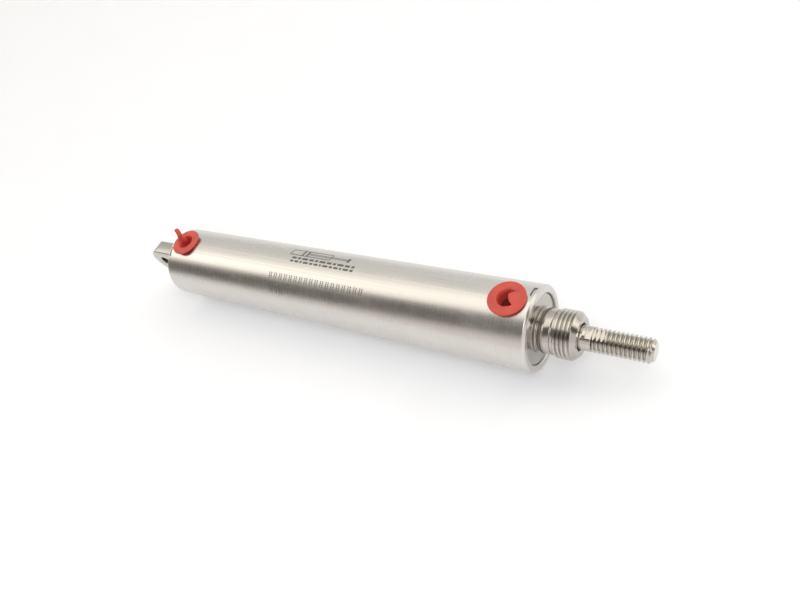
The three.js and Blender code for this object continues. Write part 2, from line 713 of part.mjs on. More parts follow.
// ---------------------------------------------------------------------------------------------
// Assembly

const cylinder = new THREE.Group();

addPart(cylinder, 'tube', tubeSolid(), metal(STAINLESS, 0.3));

const frontEnd = new THREE.Group();
addEnd(frontEnd, 'front', frontHeadSolid());
addRodGland(frontEnd);
cylinder.add(frontEnd);

const rearEnd = new THREE.Group();
rearEnd.position.x = -TUBE_LENGTH;
rearEnd.rotation.z = Math.PI;
addEnd(rearEnd, 'rear', rearHeadSolid());
cylinder.add(rearEnd);

const movingParts = new THREE.Group();
movingParts.position.x = PISTON_REAR;
addPistonSeals(movingParts);
addRodAndPiston(movingParts);
cylinder.add(movingParts);

// The front plug's tab is folded in over its own hollow; the rear plug's stands up.
const frontTab = fingerTab(FOLDED_TAB);
const frontPlug = addPart(cylinder, 'front_port_plug', plugSolid(frontTab), soft(PLUG_RED, 0.45));
frontPlug.position.x = -FRONT_PORT_INSET;
const rearTab = fingerTab(STANDING_TAB);
const rearPlug = addPart(cylinder, 'rear_port_plug', plugSolid(rearTab), soft(PLUG_RED, 0.45));
rearPlug.position.x = -TUBE_LENGTH + REAR_PORT_INSET;

export default cylinder;
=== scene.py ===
import json
import math

import bmesh
import bpy
from mathutils import Matrix, Vector


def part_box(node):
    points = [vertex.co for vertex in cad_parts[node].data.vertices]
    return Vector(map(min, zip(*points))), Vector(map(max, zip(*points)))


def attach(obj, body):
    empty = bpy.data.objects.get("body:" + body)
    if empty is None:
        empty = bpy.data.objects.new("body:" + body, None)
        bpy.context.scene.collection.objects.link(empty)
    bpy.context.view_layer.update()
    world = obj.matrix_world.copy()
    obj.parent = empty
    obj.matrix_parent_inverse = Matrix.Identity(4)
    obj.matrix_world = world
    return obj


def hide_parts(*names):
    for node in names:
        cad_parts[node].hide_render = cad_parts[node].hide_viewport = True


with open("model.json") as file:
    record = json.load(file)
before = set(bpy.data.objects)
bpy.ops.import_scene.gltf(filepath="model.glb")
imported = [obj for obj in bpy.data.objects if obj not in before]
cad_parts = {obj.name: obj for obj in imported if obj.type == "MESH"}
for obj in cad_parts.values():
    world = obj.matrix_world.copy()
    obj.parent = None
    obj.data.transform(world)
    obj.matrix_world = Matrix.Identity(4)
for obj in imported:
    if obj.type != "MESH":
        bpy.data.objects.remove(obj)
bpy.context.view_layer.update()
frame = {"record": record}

# Shapes are worked out in millimetres about the X axis and scaled to metres as they are finished.
MM = 0.001
INCH = 25.4
WELD = 1e-4

# How many flat sides stand in for a full circle.
TUBE_SIDES = 256
HEAD_SIDES = 128
ROD_SIDES = 96
SMALL_SIDES = 64
CORNER_STEPS = 4

# Threads: pitch, then the crest's width and the depth as shares of the pitch.
BODY_PITCH = INCH / 16
NOSE_FORM = (BODY_PITCH, 0.42, 0.42)
ROD_FORM = (BODY_PITCH, 0.28, 0.52)
PORT_FORM = (INCH / 27, 0.12, 0.7)


# ------------------------------------------------------------------------------------------------
# Sizes read from the frame


def box_mm(node):
    low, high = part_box(node)
    return low / MM, high / MM


TUBE_LOW, TUBE_HIGH = box_mm("tube")
FRONT = TUBE_HIGH.x
REAR = TUBE_LOW.x
TUBE_R = TUBE_HIGH.y
FRONT_HEAD_LOW, FRONT_HEAD_HIGH = box_mm("front_head")
NOSE_END = FRONT_HEAD_HIGH.x
HUB_END = FRONT_HEAD_LOW.x
HEAD_R = FRONT_HEAD_HIGH.y
TANG_END = box_mm("rear_head")[0].x
ROD_LOW, ROD_HIGH = box_mm("piston_rod")
ROD_R = 0.375 * INCH / 2
ROD_END = ROD_HIGH.x
STUD_END = ROD_LOW.x
FRONT_PORT = (box_mm("front_port_plug")[0].x + box_mm("front_port_plug")[1].x) / 2
REAR_PORT = (box_mm("rear_port_plug")[0].x + box_mm("rear_port_plug")[1].x) / 2
PLUG_BOTTOM = box_mm("front_port_plug")[0].z

# Sizes of features inside those boxes.
BORE_R = 1.125 * INCH / 2
TUBE_CHAMFER = 0.9
WIRE_INSET = 2.0
WIRE_R = 0.6
WIRE_GROOVE = 1.5
WIRE_GROOVE_DEPTH = 0.75
SLOT_WIDTH = 1.3
SLOT_LENGTH = 5.3
SLOT_TURN = math.radians(20)
PORT_R = 4.3
PORT_THREAD_R = 4.85
PORT_MOUTH_R = 5.2
HEAD_FACE = -0.8
HEAD_LAND_END = -6.3
HUB_R = 10.4
BUMPER_POCKET_R = 9.6
BUMPER_POCKET_DEPTH = 1.0
SEAL_GROOVE = (-5.6, -3.7)
SEAL_GROOVE_R = 12.29
COLLAR_R = 9.2
COLLAR_END = 0.6
COLLAR_GROOVE_R = 8.4
COLLAR_GROOVE_END = 1.9
NECK_R = 8.9
NECK_END = 5.8
UNDERCUT_R = 8.3
NOSE_THREAD_R = 0.75 * INCH / 2
NOSE_THREAD_START = 6.9
NOSE_CHAMFER = 1.9
GLAND_R = 6.45
GLAND_MOUTH_R = 5.4
GLAND_LIP = 1.3
TANG_THICKNESS = 0.3125 * INCH
TANG_WIDTH = 0.75 * INCH
TANG_HOLE_R = 4.0
TANG_ROOT = 1.2
TANG_EDGE = 0.45
TANG_HOLE_EDGE = 0.6
FLATS_START = 17.6
FLATS_END = 25.5
WRENCH_FLATS = 8.0
ROD_THREAD_START = 20.0
ROD_END_CHAMFER = 1.4


# ------------------------------------------------------------------------------------------------
# Mesh helpers


def grid(mesh, sides, rings, place):
    """Adds a sheet of faces round the X axis; place(side, ring) gives a corner's x and radius."""
    corners = []
    for side in range(sides + 1):
        angle = 2 * math.pi * side / sides
        column = []
        for ring in range(rings):
            x, radius = place(side, ring)
            column.append(mesh.verts.new((x, radius * math.cos(angle), radius * math.sin(angle))))
        corners.append(column)
    for side in range(sides):
        here, after = corners[side], corners[side + 1]
        for ring in range(rings - 1):
            mesh.faces.new((here[ring], after[ring], after[ring + 1], here[ring + 1]))


def soften(outline, closed=False):
    """Rounds each corner that carries a third number, the length cut from both of its edges."""
    points = []
    for i, corner in enumerate(outline):
        here = Vector(corner[:2])
        if len(corner) < 3:
            points.append(here)
            continue
        before = Vector(outline[i - 1][:2])
        after = Vector(outline[(i + 1) % len(outline)][:2])
        start = here + (before - here).normalized() * corner[2]
        end = here + (after - here).normalized() * corner[2]
        for step in range(CORNER_STEPS + 1):
            share = step / CORNER_STEPS
            points.append(start.lerp(here, share).lerp(here.lerp(end, share), share))
    if closed:
        points.append(points[0])
    return points


def turn(mesh, outline, sides, closed=False):
    """Adds the surface that an outline of (x, radius) corners sweeps round the X axis."""
    points = soften(outline, closed)
    grid(mesh, sides, len(points), lambda side, ring: points[ring])


def thread_rows(crest, depth):
    """Corners of one turn of thread: how far along the pitch and, from 0 to 1, how deep."""
    flank = depth * math.tan(math.radians(30))
    edge = 0.03
    return (
        (0, 0.12),
        (edge, 0),
        (crest - edge, 0),
        (crest, 0.12),
        (crest + 0.9 * flank, 0.93),
        (crest + flank, 1),
        (1 - flank, 1),
        (1 - 0.9 * flank, 0.93),
    )


def wind_thread(mesh, start, end, outer_r, envelope, sides, form):
    """Adds a screw thread from start to end, trimmed to envelope(x), that meets plain rings there."""
    pitch, crest, depth = form
    rows = thread_rows(crest, depth)
    turns = math.ceil((end - start) / pitch) + 1

    def place(side, ring):
        along, share = rows[ring % len(rows)]
        turned = ring // len(rows) - 1 + along + side / sides
        x = min(max(start + pitch * turned, start), end)
        return x, min(outer_r - pitch * depth * share, envelope(x))

    grid(mesh, sides, turns * len(rows) + 1, place)


def shape(mesh, name, place=Matrix.Identity(4), smooth_degrees=35):
    """Welds a mesh drawn in millimetres, faces it outwards and makes it an object in metres."""
    bmesh.ops.remove_doubles(mesh, verts=mesh.verts, dist=WELD)
    bmesh.ops.recalc_face_normals(mesh, faces=mesh.faces)
    data = bpy.data.meshes.new(name)
    mesh.to_mesh(data)
    mesh.free()
    data.transform(place)
    data.transform(Matrix.Scale(MM, 4))
    piece = bpy.data.objects.new(name, data)
    bpy.context.scene.collection.objects.link(piece)
    smooth(piece, smooth_degrees)
    return piece


def smooth(piece, degrees):
    piece.data.shade_smooth()
    piece.data.set_sharp_from_angle(angle=math.radians(degrees))


def apply_modifiers(piece):
    graph = bpy.context.evaluated_depsgraph_get()
    data = bpy.data.meshes.new_from_object(piece.evaluated_get(graph))
    data.name = piece.name
    piece.modifiers.clear()
    piece.data = data


def combine(piece, others, operation):
    """Joins or cuts a piece with others, which are used up."""
    for other in others:
        modifier = piece.modifiers.new("combine", "BOOLEAN")
        modifier.operation = operation
        modifier.solver = "EXACT"
        modifier.object = other
    apply_modifiers(piece)
    for other in others:
        bpy.data.objects.remove(other)


def keep(piece, material, slot, body, *nodes):
    """Gives a finished piece its material, hangs it under its body and hides the CAD nodes that it stands
    for.
    """
    piece.data.materials.clear()
    piece.data.materials.append(material)
    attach(piece, body)
    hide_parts(*nodes)


FRONT_PLACE = Matrix.Translation((FRONT, 0, 0))
REAR_PLACE = Matrix.Translation((REAR, 0, 0)) @ Matrix.Rotation(math.pi, 4, "Z")
UPRIGHT = Matrix.Rotation(-math.pi / 2, 4, "Y")


# ------------------------------------------------------------------------------------------------
# Materials


class Shader:
    """A node material with short ways to add nodes and links."""

    def __init__(self, name):
        self.material = bpy.data.materials.new(name)
        self.material.use_nodes = True
        self.tree = self.material.node_tree
        self.surface = self.tree.nodes["Principled BSDF"]

    def add(self, kind, inputs=None, **settings):
        node = self.tree.nodes.new(kind)
        for key, value in settings.items():
            setattr(node, key, value)
        for key, value in (inputs or {}).items():
            self.feed(node, key, value)
        return node

    def feed(self, node, key, value):
        if isinstance(value, bpy.types.NodeSocket):
            self.tree.links.new(value, node.inputs[key])
        else:
            node.inputs[key].default_value = value

    def math(self, operation, first, second=0.0):
        return self.add("ShaderNodeMath", {0: first, 1: second}, operation=operation).outputs[0]

    def place(self):
        """The object's own coordinates in metres, as three numbers."""
        coordinates = self.add("ShaderNodeTexCoord").outputs["Object"]
        split = self.add("ShaderNodeSeparateXYZ", {0: coordinates})
        return split.outputs[0], split.outputs[1], split.outputs[2]

    def radius(self, y, z):
        squares = self.math("ADD", self.math("MULTIPLY", y, y), self.math("MULTIPLY", z, z))
        return self.math("SQRT", squares)

    def noise(self, x, y, z, detail=2.0, roughness=0.5):
        vector = self.add("ShaderNodeCombineXYZ", {0: x, 1: y, 2: z}).outputs[0]
        inputs = {"Vector": vector, "Scale": 1.0, "Detail": detail, "Roughness": roughness}
        return self.add("ShaderNodeTexNoise", inputs).outputs[0]

    def spread(self, value, low, high, from_low=0.3, from_high=0.7):
        """Maps the useful part of a noise onto low to high."""
        inputs = {0: value, 1: from_low, 2: from_high, 3: low, 4: high}
        return self.add("ShaderNodeMapRange", inputs).outputs[0]

    def tint(self, factor, first, second):
        mix = self.add("ShaderNodeMix", data_type="RGBA")
        self.feed(mix, 0, factor)
        self.feed(mix, 6, (*first, 1.0))
        self.feed(mix, 7, (*second, 1.0))
        return mix.outputs[2]

    def worn_edges(self):
        """Near 1 on raised edges, 0 on open faces."""
        pointiness = self.add("ShaderNodeNewGeometry").outputs["Pointiness"]
        return self.spread(pointiness, 0.0, 1.0, 0.505, 0.56)

    def bump(self, height, depth_mm):
        inputs = {"Height": height, "Strength": 1.0, "Distance": depth_mm * MM}
        node = self.add("ShaderNodeBump", inputs)
        self.feed(self.surface, "Normal", node.outputs[0])

    def set(self, **values):
        for key, value in values.items():
            self.feed(self.surface, key.replace("_", " "), value)


def shaded(color, share):
    return tuple(channel * share for channel in color)


def turned_metal(name, color, roughness, line_mm=0.05, line_depth_mm=0.0006, cloud=0.03):
    """Metal with fine turning or polishing lines that run round the X axis, clouding and wear."""
    shader = Shader(name)
    x, y, z = shader.place()
    radius = shader.radius(y, z)
    angle = shader.math("ARCTAN2", z, y)
    lines_per_metre = 1 / (line_mm * MM)
    fine = shader.noise(
        shader.math("MULTIPLY", x, lines_per_metre),
        shader.math("MULTIPLY", radius, lines_per_metre),
        shader.math("MULTIPLY", angle, 0.9),
        detail=3.0,
    )
    clouds = shader.noise(
        shader.math("MULTIPLY", x, 60.0),
        shader.math("MULTIPLY", y, 180.0),
        shader.math("MULTIPLY", z, 180.0),
        detail=4.0,
        roughness=0.6,
    )
    scuffs = shader.noise(
        shader.math("MULTIPLY", x, 90.0),
        shader.math("MULTIPLY", y, 1900.0),
        shader.math("MULTIPLY", z, 1900.0),
        detail=2.0,
    )
    scuffed = shader.spread(scuffs, 0.0, 1.0, 0.66, 0.74)
    grain = shader.math("ADD", shader.spread(fine, -0.05, 0.05), shader.spread(clouds, -cloud, cloud))
    worn = shader.worn_edges()
    rough = shader.math("ADD", grain, roughness)
    rough = shader.math("ADD", rough, shader.math("MULTIPLY", scuffed, 0.06))
    rough = shader.math("SUBTRACT", rough, shader.math("MULTIPLY", worn, 0.06))
    base = shader.tint(shader.spread(clouds, 0.0, 1.0), shaded(color, 0.95), shaded(color, 1.03))
    bright = shader.add("ShaderNodeMix", {0: worn, 6: base}, data_type="RGBA")
    shader.feed(bright, 7, (*shaded(color, 1.15), 1.0))
    shader.set(Base_Color=bright.outputs[2], Metallic=1.0, Roughness=rough)
    shader.bump(fine, line_depth_mm)
    return shader.material


def moulded(name, color, roughness, pits_mm=0.25, pit_depth_mm=0.006, soft_glow=0.0):
    """Rubber or plastic with a faint moulded texture, uneven colour and paler rubbed edges."""
    shader = Shader(name)
    x, y, z = shader.place()
    pits_per_metre = 1 / (pits_mm * MM)
    pits = shader.noise(*(shader.math("MULTIPLY", axis, pits_per_metre) for axis in (x, y, z)), detail=3.0)
    flow = shader.noise(*(shader.math("MULTIPLY", axis, 210.0) for axis in (x, y, z)), detail=3.0)
    worn = shader.worn_edges()
    base = shader.tint(shader.spread(flow, 0.0, 1.0), shaded(color, 0.86), shaded(color, 1.1))
    rubbed = shader.add("ShaderNodeMix", {0: shader.math("MULTIPLY", worn, 0.5), 6: base}, data_type="RGBA")
    shader.feed(rubbed, 7, (*(min(1.0, channel * 1.25 + 0.03) for channel in color), 1.0))
    rough = shader.math("ADD", shader.spread(flow, -0.07, 0.07), roughness)
    rough = shader.math("ADD", rough, shader.spread(pits, -0.04, 0.04))
    shader.set(Base_Color=rubbed.outputs[2], Metallic=0.0, Roughness=rough, IOR=1.5)
    if soft_glow:
        shader.set(Subsurface_Weight=soft_glow, Subsurface_Scale=1.2 * MM)
        shader.surface.inputs["Subsurface Radius"].default_value = (1.0, 0.25, 0.15)
    shader.bump(pits, pit_depth_mm)
    return shader.material


def slot_color(slot):
    for entry in frame["record"]["materials"]:
        if entry["slot"] == slot:
            return tuple(entry["base_color"][:3])
    return (0.5, 0.5, 0.5)


TUBE_STEEL = turned_metal(
    "tube_polished_stainless", (0.64, 0.615, 0.585), 0.28, line_mm=0.08, line_depth_mm=0.0002
)
HEAD_STEEL = turned_metal("head_turned_steel", (0.48, 0.455, 0.42), 0.15, line_mm=0.12, line_depth_mm=0.002)
ROD_STEEL = turned_metal("rod_ground_steel", (0.51, 0.485, 0.44), 0.15, line_mm=0.06)
WIRE_STEEL = turned_metal("drawn_wire_steel", (0.5, 0.49, 0.47), 0.35, line_mm=0.1)
ALUMINIUM = turned_metal("piston_turned_aluminium", slot_color("piston_aluminium"), 0.3, line_mm=0.15)
BRONZE = turned_metal("sintered_bronze", slot_color("bushing_bronze"), 0.42, line_mm=0.2)
NITRILE = moulded("nitrile_rubber", slot_color("seal_nitrile"), 0.55)
URETHANE = moulded("urethane_rubber", slot_color("bumper_urethane"), 0.45)
POLYMER = moulded("wear_ring_polymer", slot_color("ring_polymer"), 0.5)
PLUG_PLASTIC = moulded("plug_red_plastic", (0.6, 0.07, 0.05), 0.42, soft_glow=0.12)
# Dark marks: ink for the printed box and dashes; on the dot groups the same dark film also paints the shade
# inside pin pits.
MARK_INK_AND_PIT_SHADE = moulded("mark_ink_and_pit_shade", (0.09, 0.088, 0.085), 0.6, pits_mm=0.12)


# ------------------------------------------------------------------------------------------------
# Tube


def port_cutter(x):
    """A threaded bore with a countersunk mouth, upright over x."""
    mesh = bmesh.new()
    thread_start, thread_end = BORE_R - 1.5, TUBE_R - 0.9
    turn(mesh, [(BORE_R - 3, 0), (BORE_R - 3, PORT_R), (thread_start, PORT_R)], SMALL_SIDES)
    wind_thread(
        mesh,
        thread_start,
        thread_end,
        PORT_THREAD_R,
        lambda height: PORT_R + 2 * min(height - thread_start, thread_end - height),
        SMALL_SIDES,
        PORT_FORM,
    )
    mouth = [(thread_end, PORT_R), (TUBE_R, PORT_MOUTH_R), (TUBE_R + 1, PORT_MOUTH_R + 1), (TUBE_R + 1, 0)]
    turn(mesh, mouth, SMALL_SIDES)
    return shape(mesh, "port_cutter", Matrix.Translation((x, 0, 0)) @ UPRIGHT)


def slot_cutter(place):
    """A round-ended slot through the tube wall, over the retaining wire."""
    mesh = bmesh.new()
    end_r = SLOT_WIDTH / 2
    straight = SLOT_LENGTH / 2 - end_r
    ends = 12
    outline = []
    for end, start_angle in ((1, 0.0), (-1, math.pi)):
        for step in range(ends + 1):
            angle = start_angle + math.pi * step / ends
            outline.append((end_r * math.cos(angle), end * straight + end_r * math.sin(angle)))
    low, high = BORE_R - 0.6, TUBE_R + 1.5
    bottom = [mesh.verts.new((x, y, low)) for x, y in outline]
    top = [mesh.verts.new((x, y, high)) for x, y in outline]
    mesh.faces.new(bottom)
    mesh.faces.new(top)
    for i in range(len(outline)):
        j = (i + 1) % len(outline)
        mesh.faces.new((bottom[i], bottom[j], top[j], top[i]))
    inset = Matrix.Translation((-WIRE_INSET, 0, 0))
    return shape(mesh, "slot_cutter", place @ Matrix.Rotation(-SLOT_TURN, 4, "X") @ inset)


def make_tube():
    mesh = bmesh.new()
    half = WIRE_GROOVE / 2
    floor = BORE_R + WIRE_GROOVE_DEPTH
    edge = 0.25
    outline = [
        (FRONT, BORE_R + 0.3, 0.1),
        (FRONT, TUBE_R - TUBE_CHAMFER, edge),
        (FRONT - TUBE_CHAMFER, TUBE_R, edge),
        (REAR + TUBE_CHAMFER, TUBE_R, edge),
        (REAR, TUBE_R - TUBE_CHAMFER, edge),
        (REAR, BORE_R + 0.3, 0.1),
        (REAR + 0.3, BORE_R),
        (REAR + WIRE_INSET - half, BORE_R),
        (REAR + WIRE_INSET - half, floor),
        (REAR + WIRE_INSET + half, floor),
        (REAR + WIRE_INSET + half, BORE_R),
        (FRONT - WIRE_INSET - half, BORE_R),
        (FRONT - WIRE_INSET - half, floor),
        (FRONT - WIRE_INSET + half, floor),
        (FRONT - WIRE_INSET + half, BORE_R),
        (FRONT - 0.3, BORE_R),
    ]
    turn(mesh, outline, TUBE_SIDES, closed=True)
    tube = shape(mesh, "tube_shell")
    cutters = [port_cutter(x) for x in (FRONT_PORT, REAR_PORT)]
    cutters += [slot_cutter(place) for place in (FRONT_PLACE, REAR_PLACE)]
    combine(tube, cutters, "DIFFERENCE")
    smooth(tube, 35)
    keep(tube, TUBE_STEEL, "tube_stainless", "barrel", "tube")


# ------------------------------------------------------------------------------------------------
# Surface marks: a plain cylinder symbol, rows of dashes and rows of ticks, with no lettering. The groups of
# dots are dark films that give the marks' own dark tone and also paint the shade of the pits a marking pin
# leaves.


def bar(mesh, x_start, x_end, angle_start, angle_end):
    """A thin film on the tube's surface, between two places along it and two angles from +Y."""
    low, high = TUBE_R - 0.03, TUBE_R + 0.015
    steps = max(1, math.ceil(abs(angle_end - angle_start) / 1.5))
    rims = []
    for step in range(steps + 1):
        angle = math.radians(angle_start + (angle_end - angle_start) * step / steps)
        y, z = math.cos(angle), math.sin(angle)
        corners = ((x_start, low), (x_end, low), (x_end, high), (x_start, high))
        rims.append([mesh.verts.new((x, radius * y, radius * z)) for x, radius in corners])
    mesh.faces.new(rims[0])
    mesh.faces.new(rims[-1])
    for here, after in zip(rims, rims[1:]):
        for i in range(4):
            j = (i + 1) % 4
            mesh.faces.new((here[i], here[j], after[j], after[i]))


def outline_box(mesh, x_start, x_end, angle_start, angle_end, line_mm, line_degrees):
    bar(mesh, x_start, x_end, angle_start, angle_start + line_degrees)
    bar(mesh, x_start, x_end, angle_end - line_degrees, angle_end)
    bar(mesh, x_start, x_start + line_mm, angle_start, angle_end)
    bar(mesh, x_end - line_mm, x_end, angle_start, angle_end)


def dashes(mesh, x_start, x_end, angle_start, angle_end, gap, lengths):
    """A row of dashes whose lengths repeat in turn."""
    x = x_start
    count = 0
    while x + lengths[count % len(lengths)] <= x_end:
        length = lengths[count % len(lengths)]
        bar(mesh, x, x + length, angle_start, angle_end)
        x += length + gap
        count += 1


def dot_groups(mesh, x_start, count, angle, groups_apart=3.1):
    """Groups of small dots, two across and four high, like those a marking pin leaves; each dot is a dark
    film on the surface, the mark's own dark tone together with painted shade standing in for the shade
    inside a pit, which is not cut.
    """
    step, dot = 0.78, 0.55
    step_angle = math.degrees(step / TUBE_R)
    dot_angle = math.degrees(dot / TUBE_R)
    for group in range(count):
        for column in range(2):
            for row in range(4):
                x = x_start + groups_apart * group + 1.5 * step * column
                start = angle + step_angle * row
                bar(mesh, x, x + dot, start, start + dot_angle)


def make_marks():
    mesh = bmesh.new()
    middle = -102.0
    # Dot groups: dark films that paint the shade inside pin pits, which are not cut into the tube.
    dot_groups(mesh, -129, 18, 112)
    dot_groups(mesh, -128, 3, 134)
    line, line_angle = 0.45, 1.5
    outline_box(mesh, middle - 21, middle + 3, 62, 76, line, line_angle)
    bar(mesh, middle - 14, middle - 13, 62, 76)
    bar(mesh, middle - 11.5, middle - 10.5, 62, 76)
    bar(mesh, middle - 10.5, middle + 12, 67.6, 68.8)
    bar(mesh, middle - 10.5, middle + 12, 70.2, 71.4)
    bar(mesh, middle + 12, middle + 13.5, 65, 74)
    dashes(mesh, middle - 18, middle + 20, 79.5, 83.5, 0.9, (2.6, 1.7, 3.4))
    dashes(mesh, middle - 18, middle + 20, 86.5, 90, 0.8, (1.8, 2.4, 1.2, 3.0))
    marks = shape(mesh, "printed_marks")
    marks.data.materials.append(MARK_INK_AND_PIT_SHADE)
    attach(marks, "barrel")


# ------------------------------------------------------------------------------------------------
# Heads, drawn with the tube's end face at x = 0 and the outside at +x


def head_rim():
    """From the hub's inner end out to the rim of the end face."""
    half = WIRE_GROOVE / 2
    wire_floor = BORE_R - WIRE_GROOVE_DEPTH
    return [
        (HUB_END, BUMPER_POCKET_R),
        (HUB_END, HUB_R, 0.3),
        (HEAD_LAND_END, HUB_R, 0.3),
        (HEAD_LAND_END, HEAD_R, 0.2),
        (SEAL_GROOVE[0], HEAD_R, 0.1),
        (SEAL_GROOVE[0], SEAL_GROOVE_R),
        (SEAL_GROOVE[1], SEAL_GROOVE_R),
        (SEAL_GROOVE[1], HEAD_R, 0.1),
        (-WIRE_INSET - half, HEAD_R),
        (-WIRE_INSET - half, wire_floor),
        (-WIRE_INSET + half, wire_floor),
        (-WIRE_INSET + half, HEAD_R),
        (HEAD_FACE, HEAD_R, 0.6),
    ]


def make_front_head():
    mesh = bmesh.new()
    outside = head_rim() + [
        (HEAD_FACE, COLLAR_R, 0.15),
        (COLLAR_END, COLLAR_R, 0.25),
        (COLLAR_END, COLLAR_GROOVE_R, 0.2),
        (COLLAR_GROOVE_END, COLLAR_GROOVE_R, 0.2),
        (COLLAR_GROOVE_END, NECK_R, 0.15),
        (NECK_END, NECK_R, 0.2),
        (NECK_END, UNDERCUT_R, 0.2),
        (NOSE_THREAD_START, UNDERCUT_R),
    ]
    turn(mesh, outside, HEAD_SIDES)
    nose_edge_r = NOSE_THREAD_R - NOSE_CHAMFER

    def envelope(x):
        start = UNDERCUT_R + 5 * (x - NOSE_THREAD_START)
        end = nose_edge_r + (NOSE_END - x)
        return min(start, end)

    wind_thread(mesh, NOSE_THREAD_START, NOSE_END, NOSE_THREAD_R, envelope, HEAD_SIDES, NOSE_FORM)
    inside = [
        (NOSE_END, nose_edge_r),
        (NOSE_END, GLAND_MOUTH_R + 0.3, 0.1),
        (NOSE_END - 0.3, GLAND_MOUTH_R),
        (NOSE_END - GLAND_LIP, GLAND_MOUTH_R),
        (NOSE_END - GLAND_LIP, GLAND_R),
        (HUB_END + BUMPER_POCKET_DEPTH, GLAND_R),
        (HUB_END + BUMPER_POCKET_DEPTH, BUMPER_POCKET_R),
        (HUB_END, BUMPER_POCKET_R),
    ]
    turn(mesh, inside, HEAD_SIDES)
    head = shape(mesh, "front_head_body", FRONT_PLACE, smooth_degrees=40)
    keep(head, HEAD_STEEL, "head_steel", "barrel", "front_head")


def rounded_across(edge, middle_steps):
    """Rings across the tang's thickness, as (inset, y): both edges rounded, more rings between."""
    half_thick = TANG_THICKNESS / 2
    edge_steps = 4
    rings = []
    for step in range(edge_steps + 1):
        turned = math.pi / 2 * step / edge_steps
        rings.append((edge * (1 - math.cos(turned)), half_thick - edge + edge * math.sin(turned)))
    flat = half_thick - edge
    between = [(0.0, flat * (2 * step / middle_steps - 1)) for step in range(1, middle_steps)]
    return [(inset, -y) for inset, y in reversed(rings)] + between + rings


def tang_shape():
    """The pivot tang, thick along Y: round bar with two flats, a full round end and a cross hole."""
    mesh = bmesh.new()
    bar_r = TANG_WIDTH / 2
    hole_x = REAR - TANG_END - bar_r
    to_root = hole_x + TANG_ROOT
    sides = 144

    def plate(angle, inset):
        width = bar_r - inset
        if math.cos(angle) >= 0:
            return width
        along = to_root / max(-math.cos(angle), WELD)
        across = width / max(abs(math.sin(angle)), WELD)
        return min(along, across)

    loops = []
    for inset, y in rounded_across(TANG_EDGE, 8):
        bar_height = math.sqrt(bar_r**2 - y**2) - inset
        loop = []
        for side in range(sides):
            angle = 2 * math.pi * side / sides
            radius = plate(angle, inset)
            z = max(-bar_height, min(bar_height, radius * math.sin(angle)))
            loop.append(mesh.verts.new((hole_x + radius * math.cos(angle), y, z)))
        loops.append(loop)
    for inset, y in reversed(rounded_across(TANG_HOLE_EDGE, 2)):
        loop = []
        for side in range(sides):
            angle = 2 * math.pi * side / sides
            radius = TANG_HOLE_R + inset
            loop.append(mesh.verts.new((hole_x + radius * math.cos(angle), y, radius * math.sin(angle))))
        loops.append(loop)
    for i, loop in enumerate(loops):
        after = loops[(i + 1) % len(loops)]
        for side in range(sides):
            last = (side + 1) % sides
            mesh.faces.new((loop[side], loop[last], after[last], after[side]))
    return shape(mesh, "tang", REAR_PLACE)


def make_rear_head():
    mesh = bmesh.new()
    pocket_floor = HUB_END + BUMPER_POCKET_DEPTH
    outline = [(pocket_floor, 0), (pocket_floor, BUMPER_POCKET_R)] + head_rim() + [(HEAD_FACE, 0)]
    turn(mesh, outline, HEAD_SIDES)
    head = shape(mesh, "rear_head_body", REAR_PLACE)
    combine(head, [tang_shape()], "UNION")
    smooth(head, 35)
    keep(head, HEAD_STEEL, "head_steel", "barrel", "rear_head")


def make_retaining_wire(end, place):
    """A sprung ring of drawn wire whose tail rises into the slot of the tube wall."""
    curve = bpy.data.curves.new(end + "_wire_path", "CURVE")
    curve.dimensions = "3D"
    curve.bevel_depth = WIRE_R * MM
    curve.bevel_resolution = 4
    curve.use_fill_caps = True
    slot_angle = math.pi / 2 - SLOT_TURN
    half_slot = SLOT_LENGTH / 2 / BORE_R
    tail_start = slot_angle - 0.9 * half_slot
    steps = 96
    tail_steps = 10
    path = []
    for i in range(steps):
        angle = tail_start - (2 * math.pi - 2 * half_slot) * (1 - i / steps)
        path.append((angle, BORE_R))
    tail_r = TUBE_R - WIRE_R - 0.15
    for i in range(tail_steps + 1):
        share = i / tail_steps
        rise = min(1.0, 6 * share) ** 2
        angle = tail_start + 1.6 * half_slot * share
        path.append((angle, BORE_R + (tail_r - BORE_R) * rise))
    spline = curve.splines.new("POLY")
    spline.points.add(len(path) - 1)
    for point, (angle, radius) in zip(spline.points, path):
        corner = Vector((-WIRE_INSET, radius * math.cos(angle), radius * math.sin(angle)))
        point.co = ((place @ corner) * MM).to_4d()
    route = bpy.data.objects.new(end + "_wire_path", curve)
    bpy.context.scene.collection.objects.link(route)
    graph = bpy.context.evaluated_depsgraph_get()
    data = bpy.data.meshes.new_from_object(route.evaluated_get(graph))
    bpy.data.objects.remove(route)
    wire = bpy.data.objects.new(end + "_wire_ring", data)
    bpy.context.scene.collection.objects.link(wire)
    smooth(wire, 40)
    keep(wire, WIRE_STEEL, "wire_steel", "barrel", end + "_retaining_wire")


# ------------------------------------------------------------------------------------------------
# Plain rings, seals and other round pieces, sized from the CAD node that they stand for


def ring_outline(node, inner_r, edge):
    low, high = box_mm(node)
    outer_r = high.z
    return [(low.x, inner_r, edge), (high.x, inner_r, edge), (high.x, outer_r, edge), (low.x, outer_r, edge)]


def make_ring(node, name, inner_r, edge, material, slot, body):
    mesh = bmesh.new()
    turn(mesh, ring_outline(node, inner_r, edge), SMALL_SIDES, closed=True)
    keep(shape(mesh, name), material, slot, body, node)


